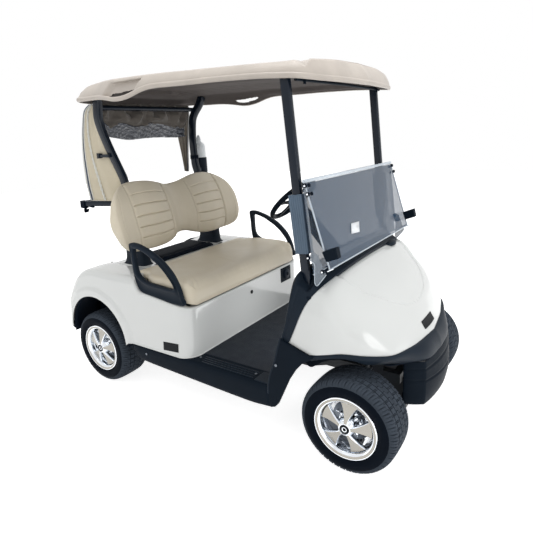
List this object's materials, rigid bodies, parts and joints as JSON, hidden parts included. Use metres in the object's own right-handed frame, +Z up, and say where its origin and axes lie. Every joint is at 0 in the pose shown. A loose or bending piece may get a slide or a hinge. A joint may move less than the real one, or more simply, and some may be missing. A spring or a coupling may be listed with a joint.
{
  "type": "golf cart",
  "caption": "Two-seat golf cart with a canopy roof, folding windshield, steered front wheels, rear bag well and a seat that lifts on a hinge.",
  "frame": {"origin": "on the ground under the middle of the cart's length and width", "axes": "+X forward, +Y to the driver's left, +Z up"},
  "size_m": [2.3899, 1.1812, 1.7919],
  "materials": {
    "black_metal": "gloss black paint",
    "black_plastic": "satin moulded black plastic",
    "white_body": "gloss off-white body panels",
    "roof_plastic": "satin beige thermoformed plastic",
    "sleeve_plastic": "satin blue-grey plastic sleeve",
    "tinted_sheet": "clear sheet with a smoky blue tint",
    "seat_vinyl": "tan vinyl with fine grain",
    "cover_canvas": "tan woven cover cloth",
    "bottle_plastic": "translucent white plastic",
    "spring_steel": "dark coated spring steel",
    "tyre_rubber": "black rubber with road tread",
    "chrome_rim": "polished bright alloy"
  },
  "bodies": {
    "chassis": {"frame_rails": "black_metal", "floorboard": "black_plastic", "rockers": "black_plastic", "rear_body": "white_body", "bag_well": "black_plastic", "rear_bumper": "black_plastic", "battery_pack": "black_plastic", "rear_axle": "black_metal", "rear_suspension": "black_metal", "front_suspension": "black_metal", "front_shocks": "spring_steel", "front_cowl": "white_body", "front_bumper": "black_plastic", "fender_panels": "black_plastic", "front_struts": "black_metal", "rear_struts": "black_metal", "strut_sleeves": "sleeve_plastic", "roof": "roof_plastic", "windshield_lower": "tinted_sheet", "windshield_upper": "tinted_sheet", "windshield_clips": "black_plastic", "steering_column": "black_metal", "dash_cowl": "black_plastic", "pedals": "black_metal", "deck_cover": "black_plastic", "hip_restraints": "black_plastic", "backrest_cushion": "seat_vinyl", "bag_rack": "black_metal", "cover_sides": "cover_canvas", "cover_valance": "cover_canvas", "cover_window": "tinted_sheet", "bottle_holder": "black_plastic", "sand_bottle": "bottle_plastic"},
    "seat": {"seat_pan": "black_plastic", "seat_cushion": "seat_vinyl"},
    "steering_wheel": {"steering_wheel": "black_plastic"},
    "steering_rack": {"steering_rack": "black_metal"},
    "knuckle_left": {"knuckle_left": "black_metal"},
    "knuckle_right": {"knuckle_right": "black_metal"},
    "wheel_front_left": {"tyre_front_left": "tyre_rubber", "rim_front_left": "chrome_rim"},
    "wheel_front_right": {"tyre_front_right": "tyre_rubber", "rim_front_right": "chrome_rim"},
    "wheel_rear_left": {"tyre_rear_left": "tyre_rubber", "rim_rear_left": "chrome_rim"},
    "wheel_rear_right": {"tyre_rear_right": "tyre_rubber", "rim_rear_right": "chrome_rim"}
  },
  "joints": [
    {"name": "steer_left", "type": "hinge", "parent": "chassis", "child": "knuckle_left", "pos_m": [0.915, 0.365, 0.229], "axis": [0, 0, 1], "range_deg": [-30, 30]},
    {"name": "steer_right", "type": "hinge", "parent": "chassis", "child": "knuckle_right", "pos_m": [0.915, -0.365, 0.229], "axis": [0, 0, 1], "range_deg": [-30, 30]},
    {"name": "steering_wheel_turn", "type": "hinge", "parent": "chassis", "child": "steering_wheel", "pos_m": [0.175, 0.28, 1.08], "axis": [-0.682, 0, 0.7314], "range_deg": [-300, 300]},
    {"name": "rack_slide", "type": "slide", "parent": "chassis", "child": "steering_rack", "axis": [0, 1, 0], "range_m": [-0.05, 0.05]},
    {"name": "spin_front_left", "type": "hinge", "parent": "knuckle_left", "child": "wheel_front_left", "pos_m": [0.915, 0.477, 0.229], "axis": [0, 1, 0], "continuous": true},
    {"name": "spin_front_right", "type": "hinge", "parent": "knuckle_right", "child": "wheel_front_right", "pos_m": [0.915, -0.477, 0.229], "axis": [0, 1, 0], "continuous": true},
    {"name": "spin_rear_left", "type": "hinge", "parent": "chassis", "child": "wheel_rear_left", "pos_m": [-0.755, 0.488, 0.229], "axis": [0, 1, 0], "continuous": true},
    {"name": "spin_rear_right", "type": "hinge", "parent": "chassis", "child": "wheel_rear_right", "pos_m": [-0.755, -0.488, 0.229], "axis": [0, 1, 0], "continuous": true},
    {"name": "seat_lift", "type": "hinge", "parent": "chassis", "child": "seat", "pos_m": [-0.46, 0, 0.738], "axis": [0, -1, 0], "range_deg": [0, 70]}
  ],
  "couplings": [
    {"joint": "steer_right", "follows": "steer_left", "ratio": 1},
    {"joint": "steering_wheel_turn", "follows": "steer_left", "ratio": 10},
    {"joint": "rack_slide", "follows": "steer_left", "m_per_rad": -0.0954}
  ]
}
